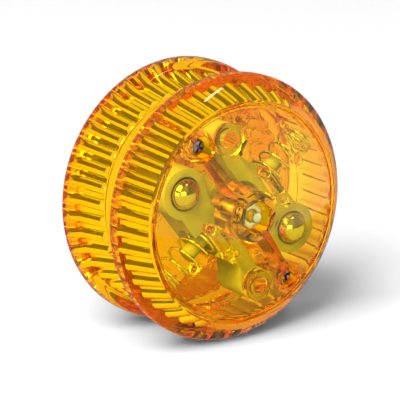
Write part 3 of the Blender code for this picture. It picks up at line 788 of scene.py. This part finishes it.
def hangers(with_guides):
    """What hangs under the dome: bosses and ribs, and in the clutch half sockets, bars and pegs."""
    top = HALF_WIDTH + OVERSHOOT
    tools = []
    for side in (1, -1):
        tools.append(pin("boss", BOSS_RADIUS, BOSS_LOW, top, (0.0, side * SCREW_DISTANCE), HANGER_EDGE))
        ends = sorted((side * (HUB_RADIUS - RIB_BITE), side * (SCREW_DISTANCE - BOSS_RADIUS + RIB_BITE)))
        low = (-RIB_THICKNESS / 2, ends[0], BOSS_LOW + JOIN_BITE)
        tools.append(block("rib", low, (RIB_THICKNESS / 2, ends[1], top)))
        if not with_guides:
            continue
        pivot = (side * PIVOT.x, side * PIVOT.y)
        tools.append(pin("socket", SOCKET_RADIUS, ARM_HIGH + CLEARANCE, top, pivot, HANGER_EDGE))
        peg = (side * PEG_DISTANCE, 0.0)
        tools.append(pin("peg", PEG_RADIUS, PEG_LOW, top, peg, HANGER_EDGE, 32))
        middle_x = side * BAR_DISTANCE
        low = (middle_x - BAR_WEB / 2, -BAR_POST_OFFSET, BAR_LOW + CLEARANCE)
        tools.append(block("bar", low, (middle_x + BAR_WEB / 2, BAR_POST_OFFSET, top)))
        for end in (-1, 1):
            centre = (middle_x, end * BAR_POST_OFFSET)
            tools.append(pin("bar_post", BAR_POST_RADIUS, BAR_LOW, top, centre, BAR_POST_EDGE, 32))
    return tools


def cap(name, matrix, with_guides):
    """A domed cap with its hub and what hangs under it, the nut's pocket, and the screws' wells."""
    skirt = CAP_RADIUS - CAP_SKIRT
    rows = [(AXLE_HOLE, HALF_WIDTH), (HUB_RADIUS - HUB_EDGE, HALF_WIDTH)]
    rows += dome_rows(HUB_RADIUS, CAP_RADIUS - CAP_EDGE, 0.0)
    rows += [(CAP_RADIUS, dome(CAP_RADIUS) - CAP_EDGE), (CAP_RADIUS, CAP_LOW), (skirt, CAP_LOW)]
    rows += dome_rows(skirt, HUB_RADIUS, CAP_THICKNESS)
    rows += [(HUB_RADIUS, HUB_LOW), (AXLE_HOLE, HUB_LOW)]
    obj = lathe(name, rows, even_angles(180))
    low = HUB_LOW - OVERSHOOT
    core_rows = dome_rows(0.0, CAP_RADIUS - CAP_EDGE, CAP_THICKNESS / 2)
    core_rows += [(CAP_RADIUS - CAP_EDGE, low), (0.0, low)]
    core = lathe("core", core_rows, even_angles(90), closed=False)
    tools = []
    for tool in hangers(with_guides):
        modifier = tool.modifiers.new("trim", "BOOLEAN")
        modifier.operation = "INTERSECT"
        modifier.object = core
        apply_modifiers(tool)
        tools.append((tool, "UNION"))
    bpy.data.objects.remove(core)
    top = HALF_WIDTH + OVERSHOOT
    draft = (POCKET_FLATS_HIGH - POCKET_FLATS_LOW) / (HALF_WIDTH - POCKET_LOW)
    mouth = POCKET_FLATS_HIGH + draft * OVERSHOOT
    pocket = hexagon("nut_pocket", POCKET_FLATS_LOW, mouth, POCKET_LOW, top, POCKET_TURN)
    tools.append((pocket, "DIFFERENCE"))
    for side in (1, -1):
        centre = (0.0, side * SCREW_DISTANCE)
        tools.append((pin("well", WELL_RADIUS, WELL_LOW, top, centre), "DIFFERENCE"))
        tools.append((pin("hole", SCREW_HOLE, BOSS_LOW - OVERSHOOT, top, centre), "DIFFERENCE"))
        if with_guides:
            pivot = (side * PIVOT.x, side * PIVOT.y)
            bore = pin("bore", SOCKET_HOLE, ARM_HIGH - OVERSHOOT, POST_HIGH + 2 * CLEARANCE, pivot)
            tools.append((bore, "DIFFERENCE"))
    combine(obj, tools)
    # Painted shade on the hub, bosses, what hangs under the dome and the ribs.
    zones = [(HANGER_PAINTED_SHADE, hanger_mask), (RIB_PAINTED_SHADE, rib_mask)]
    look = amber_plastic(f"{name}_amber", CAP_TINT, zones)
    finish_piece(obj, matrix, look, name, "halves", 25.0)


# Axle stack


def axle():
    """A rod with rounded ends, threaded as far as the sleeve."""
    rows = [(0.0, AXLE_END)]
    rows += arc((AXLE_RADIUS - AXLE_CHAMFER, AXLE_END - AXLE_CHAMFER), AXLE_CHAMFER, 90.0, 0.0, 4)
    height = AXLE_END - 2 * AXLE_CHAMFER
    while height > SLEEVE_END:
        rows.append((AXLE_RADIUS, height))
        rows.append((AXLE_RADIUS - AXLE_THREAD_DEPTH, height - AXLE_THREAD_PITCH / 2))
        height -= AXLE_THREAD_PITCH
    rows += [(r, -h) for r, h in reversed(rows)]
    obj = lathe("axle", rows, even_angles(64), closed=False)
    finish_piece(obj, FRONT, STEEL_AXLE, "axle", "halves", 20.0)


def axle_nut(name, matrix):
    """A hex nut with its corners turned off to a cone on both faces and a countersunk thread."""
    obj = hexagon(name, NUT_FLATS, NUT_FLATS, NUT_LOW, NUT_HIGH, POCKET_TURN)
    rows = [(0.0, NUT_HIGH), (NUT_CROWN, NUT_HIGH), (NUT_REACH, NUT_HIGH - NUT_CHAMFER)]
    rows += [(NUT_REACH, NUT_LOW + NUT_CHAMFER), (NUT_CROWN, NUT_LOW), (0.0, NUT_LOW)]
    turned = lathe("crown", rows, even_angles(96), closed=False)
    wide = NUT_THREAD + NUT_SINK
    rows = [(0.0, NUT_HIGH + OVERSHOOT), (wide, NUT_HIGH + OVERSHOOT)]
    rows += [(wide, NUT_HIGH), (NUT_THREAD, NUT_HIGH - NUT_SINK), (NUT_THREAD, NUT_LOW + NUT_SINK)]
    rows += [(wide, NUT_LOW), (wide, NUT_LOW - OVERSHOOT), (0.0, NUT_LOW - OVERSHOOT)]
    bore = lathe("thread", rows, even_angles(64), closed=False)
    combine(obj, [(turned, "INTERSECT"), (bore, "DIFFERENCE")])
    round_edges(obj, 0.06 * MM, 2, 25.0)
    finish_piece(obj, matrix, STEEL_NUT, name, "halves", 30.0)


def ring(name, inner, outer, low, high, edge, material, matrix):
    """A sleeve or washer with rounded edges."""
    rows = arc((outer - edge, high - edge), edge, 90.0, 0.0, 3)
    rows += arc((outer - edge, low + edge), edge, 0.0, -90.0, 3)
    rows += arc((inner + edge, low + edge), edge, 270.0, 180.0, 3)
    rows += arc((inner + edge, high - edge), edge, 180.0, 90.0, 3)
    obj = lathe(name, rows, even_angles(96))
    finish_piece(obj, matrix, material, name, "halves", 30.0)


def string_spool():
    """Drum in the clutch half, waist for the string in the gap, collar in the rear half."""
    fillet = 0.8 * MM
    edge = 0.25 * MM
    seat = STRING_SEAT_RADIUS + fillet
    rows = [(SPOOL_BORE, DRUM_HIGH), (DRUM_RADIUS - edge, DRUM_HIGH), (DRUM_RADIUS, DRUM_HIGH - edge)]
    rows += [(DRUM_RADIUS, STRING_SEAT_HALF + edge), (DRUM_RADIUS - edge, STRING_SEAT_HALF)]
    rows += arc((seat, STRING_SEAT_HALF - fillet), fillet, 90.0, 180.0, 6)
    rows += arc((seat, fillet - STRING_SEAT_HALF), fillet, 180.0, 270.0, 6)
    rows += [(COLLAR_RADIUS - edge, -STRING_SEAT_HALF), (COLLAR_RADIUS, -STRING_SEAT_HALF - edge)]
    rows += [(COLLAR_RADIUS, -COLLAR_END), (SPOOL_BORE, -COLLAR_END)]
    obj = lathe("string_spool", rows, even_angles(120))
    nylon = pale_plastic("nylon", (0.70, 0.69, 0.62), (0.82, 0.81, 0.75), 0.42)
    finish_piece(obj, FRONT, nylon, "string_spool", "spool", 35.0)


# Clutch


def arm_outline():
    """The arm seen from outside: round head, back, eye, neck and the pad that hugs the drum."""
    head = arc((BALL_CENTRE.x, BALL_CENTRE.y), ARM_HEAD_RADIUS, *HEAD_ARC)
    eye = arc((PIVOT.x, PIVOT.y), EYE_RADIUS, *EYE_ARC)
    pad = arc((0.0, 0.0), PAD_RADIUS, *PAD_ARC)
    return head + ARM_BACK + eye + ARM_NECK + pad


def clutch_arm(tag, side):
    """An arm with the pockets for its ball and its spring, and the stub inside the spring."""
    name = f"clutch_arm_{tag}"
    obj = plate(name, arm_outline(), ARM_LOW, ARM_HIGH)
    pocket_low = BALL_CENTRE.z - BALL_RADIUS - CLEARANCE
    top = ARM_HIGH + OVERSHOOT
    ball = (BALL_CENTRE.x, BALL_CENTRE.y)
    pivot = (PIVOT.x, PIVOT.y)
    seat = pin("spring_seat", SPRING_POCKET_RADIUS, 0.0, SPRING_POCKET_LENGTH)
    stub = pin("stub", STUB_RADIUS, -JOIN_BITE, STUB_END - SPRING_POCKET_INNER)
    for tool in (seat, stub):
        tool.data.transform(Matrix.Rotation(math.pi / 2, 4, "Y"))
        tool.data.transform(Matrix.Translation((SPRING_POCKET_INNER, 0.0, SPRING_HEIGHT)))
    tools = [
        (pin("eye", SOCKET_HOLE, ARM_LOW - OVERSHOOT, top, pivot), "DIFFERENCE"),
        (pin("ball_pocket", BALL_RADIUS + BALL_FIT, pocket_low, top, ball), "DIFFERENCE"),
        (seat, "DIFFERENCE"),
        (stub, "UNION"),
    ]
    combine(obj, tools)
    round_edges(obj, 0.35 * MM)
    turn = Matrix.Rotation(0.0 if side > 0 else math.pi, 4, "Z")
    finish_piece(obj, FRONT @ turn, ACETAL, name, f"{tag}_arm", 35.0)


def weight_ball(tag, side):
    name = f"weight_ball_{tag}"
    rows = arc((0.0, BALL_CENTRE.z), BALL_RADIUS, 90.0, -90.0, 48)
    centre = (side * BALL_CENTRE.x, side * BALL_CENTRE.y)
    obj = lathe(name, rows, even_angles(96), closed=False, centre=centre)
    finish_piece(obj, FRONT, STEEL_BALL, name, f"{tag}_arm", 60.0)


def spring_points():
    """A helix along X: closed coils at both ends, open between."""
    closed = (SPRING_CLOSED_TURNS_INNER + SPRING_CLOSED_TURNS_OUTER) * SPRING_CLOSED_PITCH
    open_pitch = (SPRING_OUTER - SPRING_INNER - closed) / SPRING_ACTIVE_TURNS
    turns = SPRING_CLOSED_TURNS_INNER + SPRING_ACTIVE_TURNS + SPRING_CLOSED_TURNS_OUTER
    x = SPRING_INNER
    points = []
    for i in range(round(turns * COIL_STEPS) + 1):
        turn = i / COIL_STEPS
        angle = 2 * math.pi * turn
        points.append((x, SPRING_COIL_RADIUS * math.cos(angle), SPRING_COIL_RADIUS * math.sin(angle)))
        is_open = SPRING_CLOSED_TURNS_INNER <= turn < turns - SPRING_CLOSED_TURNS_OUTER
        x += (open_pitch if is_open else SPRING_CLOSED_PITCH) / COIL_STEPS
    return points


def clutch_spring(tag, side):
    """A coil spring that its arm's swing shortens towards its outer end."""
    name = f"clutch_spring_{tag}"
    curve = bpy.data.curves.new(name, "CURVE")
    curve.dimensions = "3D"
    curve.bevel_depth = SPRING_WIRE_RADIUS
    curve.bevel_resolution = 4
    curve.use_fill_caps = True
    points = spring_points()
    spline = curve.splines.new("POLY")
    spline.points.add(len(points) - 1)
    for target, (x, y, z) in zip(spline.points, points):
        target.co = (x, y, z, 1.0)
    drawn = link(f"{name}_line", curve)
    graph = bpy.context.evaluated_depsgraph_get()
    obj = link(name, bpy.data.meshes.new_from_object(drawn.evaluated_get(graph)))
    bpy.data.objects.remove(drawn)
    lift = Matrix.Translation((0.0, 0.0, SPRING_HEIGHT))
    turn = Matrix.Rotation(0.0 if side > 0 else math.pi, 4, "Z")
    finish_piece(obj, FRONT @ turn @ lift, STEEL_WIRE, name, "halves", 50.0)
    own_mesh(obj)


# Screws


def screw(name, matrix, side):
    """A pan-head screw with a cross recess and a coarse thread."""
    low = SCREW_HIGH - SCREW_HEAD_HEIGHT
    crown = SCREW_HEAD_ROUNDING
    reach = SCREW_HEAD_RADIUS - SCREW_HEAD_INSET
    root = SCREW_SHANK_RADIUS - SCREW_THREAD_DEPTH
    rows = [(0.0, SCREW_HIGH)]
    rows += arc((reach - crown, SCREW_HIGH - crown), crown, 90.0, 0.0, 8)
    rows += [(reach, low), (SCREW_SHANK_RADIUS, low)]
    height = low - SCREW_NECK
    tip = SCREW_LOW + SCREW_SHANK_RADIUS
    while height > tip + SCREW_THREAD_PITCH:
        rows += [(SCREW_SHANK_RADIUS, height), (root, height - SCREW_THREAD_PITCH / 2)]
        height -= SCREW_THREAD_PITCH
    rows += [(root, tip), (0.0, SCREW_LOW)]
    obj = lathe(name, rows, even_angles(48), closed=False)
    bottom = SCREW_HIGH - RECESS_DEPTH
    top = SCREW_HIGH + OVERSHOOT
    tools = []
    for length, width in ((RECESS_LENGTH, RECESS_WIDTH), (RECESS_WIDTH, RECESS_LENGTH)):
        x, y = length / 2, width / 2
        tools.append((block("recess", (-x, -y, bottom), (x, y, top)), "DIFFERENCE"))
    combine(obj, tools)
    spin = Matrix.Rotation(UPPER_SCREW_SPIN if side > 0 else LOWER_SCREW_SPIN, 4, "Z")
    place = Matrix.Translation((0.0, side * SCREW_DISTANCE, 0.0))
    finish_piece(obj, matrix @ place @ spin, STEEL_SCREW, name, "halves", 30.0)


# Surroundings


def floor():
    """White paper under the rims. Mirror reflections don't show it."""
    shape = bmesh.new()
    bmesh.ops.create_grid(shape, x_segments=1, y_segments=1, size=3.0)
    obj = from_bmesh("floor", shape)
    obj.location.z = -RIM_RADIUS
    made, nodes, links, shader = new_material("floor_paper")
    fibre = noise_node(nodes, links, FIBRE_SCALE, 5.0)
    mix = nodes.new("ShaderNodeMix")
    mix.data_type = "RGBA"
    mix.inputs["A"].default_value = (0.93, 0.93, 0.93, 1.0)
    mix.inputs["B"].default_value = (0.96, 0.96, 0.96, 1.0)
    links.new(fibre.outputs["Fac"], mix.inputs["Factor"])
    links.new(mix.outputs["Result"], shader.inputs["Base Color"])
    shader.inputs["Roughness"].default_value = 0.9
    shader.inputs["Specular IOR Level"].default_value = 0.0
    obj.data.materials.append(made)
    obj.visible_glossy = False


def area_light(name, place, size, power):
    """A panel that faces the yo-yo's middle."""
    data = bpy.data.lights.new(name, "AREA")
    data.shape = "RECTANGLE"
    data.size = size[0]
    data.size_y = size[1]
    data.energy = power
    obj = bpy.data.objects.new(name, data)
    bpy.context.scene.collection.objects.link(obj)
    obj.location = place
    obj.rotation_euler = Vector(place).to_track_quat("Z", "Y").to_euler()
    return obj


def world():
    """A dim white studio, twice as bright behind the yo-yo as in front of it."""
    backdrop = (0.56, 0.78, 0.28)
    made = bpy.data.worlds.new("studio")
    bpy.context.scene.world = made
    made.use_nodes = True
    nodes, links = made.node_tree.nodes, made.node_tree.links
    direction = nodes.new("ShaderNodeTexCoord")
    facing = nodes.new("ShaderNodeVectorMath")
    facing.operation = "DOT_PRODUCT"
    links.new(direction.outputs["Generated"], facing.inputs[0])
    facing.inputs[1].default_value = backdrop
    spread = nodes.new("ShaderNodeMapRange")
    spread.interpolation_type = "SMOOTHSTEP"
    spread.inputs["From Min"].default_value = -0.9
    spread.inputs["From Max"].default_value = 0.6
    spread.inputs["To Min"].default_value = 0.13
    spread.inputs["To Max"].default_value = 0.26
    links.new(facing.outputs["Value"], spread.inputs["Value"])
    background = nodes["Background"]
    background.inputs["Color"].default_value = (1.0, 1.0, 1.0, 1.0)
    links.new(spread.outputs["Result"], background.inputs["Strength"])


def camera():
    """Looks at the middle of the yo-yo from 36 degrees left of the axle and 16 degrees up."""
    azimuth = math.radians(-35.8)
    elevation = math.radians(16.3)
    roll = math.radians(-0.66)
    distance = 17.43 * RIM_RADIUS
    back = Vector((
        math.sin(azimuth) * math.cos(elevation),
        -math.cos(azimuth) * math.cos(elevation),
        math.sin(elevation),
    ))
    level = Vector((0.0, 0.0, 1.0)).cross(back).normalized()
    upright = back.cross(level)
    right = math.cos(roll) * level + math.sin(roll) * upright
    up = math.cos(roll) * upright - math.sin(roll) * level
    data = bpy.data.cameras.new("camera")
    data.lens = 211.6
    data.sensor_width = 36.0
    data.shift_x = -0.005
    data.shift_y = -0.007
    data.clip_start = 0.01
    obj = bpy.data.objects.new("camera", data)
    bpy.context.scene.collection.objects.link(obj)
    place = Matrix((right, up, back)).transposed().to_4x4()
    place.translation = back * distance
    obj.matrix_world = place
    bpy.context.scene.camera = obj


def lamps():
    """Soft panels. The sweeps show only through the mouldings, and the sheen only in reflections."""
    key = area_light("key", (-1.86, -0.78, 2.23), (2.0, 2.0), 122.0)
    fill = area_light("fill", (-0.45, -0.9, 0.2), (0.6, 0.4), 3.5)
    area_light("top", (0.3, -0.4, 0.87), (0.30, 0.04), 0.6)
    side = area_light("side", (-1.0, -0.4, 0.12), (0.5, 0.3), 3.0)
    back_sweep = area_light("back_sweep", (0.9, 1.2, 1.1), (2.4, 1.6), 9.0)
    front_sweep = area_light("front_sweep", (-0.7, -1.3, 1.1), (2.4, 1.6), 4.5)
    sheen = area_light("sheen", (0.32, -0.45, 0.0), (1.6, 0.5), 2.2)
    for lamp in (key, fill, side, back_sweep, front_sweep):
        lamp.visible_glossy = False
    for lamp in (back_sweep, front_sweep, sheen):
        lamp.visible_diffuse = False
        lamp.visible_camera = False
    sheen.visible_transmission = False


def light_paths():
    """Many bounces inside the clear mouldings, no focused light on the floor, and plain colours."""
    scene = bpy.context.scene
    scene.view_settings.view_transform = "Standard"
    scene.cycles.caustics_refractive = False
    scene.cycles.caustics_reflective = False
    scene.cycles.max_bounces = 64
    scene.cycles.transmission_bounces = 64
    scene.cycles.glossy_bounces = 24


STEEL_AXLE = steel("axle_steel", (0.97, 0.93, 0.42), 0.28, 0.15, 3000.0, 0.01 * MM)
STEEL_NUT = steel("nut_plating", (0.96, 0.88, 0.32), 0.30, 0.18, 2500.0, 0.015 * MM)
STEEL_BALL = steel("ball_steel", (0.68, 0.70, 0.66), 0.08, 0.08, 4000.0, 0.003 * MM)
STEEL_WIRE = steel("spring_wire", (0.92, 0.92, 0.70), 0.18, 0.12, 3000.0, 0.01 * MM)
STEEL_SCREW = steel("screw_plating", (0.36, 0.34, 0.33), 0.25, 0.2, 2500.0, 0.015 * MM)
STEEL_PLAIN = steel("bearing_steel", (0.80, 0.74, 0.58), 0.25, 0.2, 2500.0, 0.015 * MM)
ACETAL = pale_plastic("acetal", (0.88, 0.86, 0.70), (0.97, 0.95, 0.84), 0.35)

front_shell()
rear_shell()
cap("front_cap", FRONT, True)
cap("rear_cap", REAR, False)
axle()
axle_nut("front_axle_nut", FRONT)
axle_nut("rear_axle_nut", REAR)
ring(
    "axle_sleeve",
    AXLE_HOLE,
    SLEEVE_RADIUS,
    -SLEEVE_END,
    SLEEVE_END,
    0.15 * MM,
    STEEL_PLAIN,
    FRONT,
)
string_spool()
for washer, matrix in (("front_thrust_washer", FRONT), ("rear_thrust_washer", REAR)):
    low, high = sorted(abs(corner.y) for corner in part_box(washer))
    radius = extent(washer).z / 2
    ring(washer, SPOOL_BORE, radius, low, high, 0.08 * MM, STEEL_PLAIN, matrix)
for side, tag in ((1, "upper"), (-1, "lower")):
    clutch_arm(tag, side)
    weight_ball(tag, side)
    clutch_spring(tag, side)
    screw(f"front_screw_{tag}", FRONT, side)
    screw(f"rear_screw_{tag}", REAR, side)
floor()
world()
camera()
lamps()
light_paths()
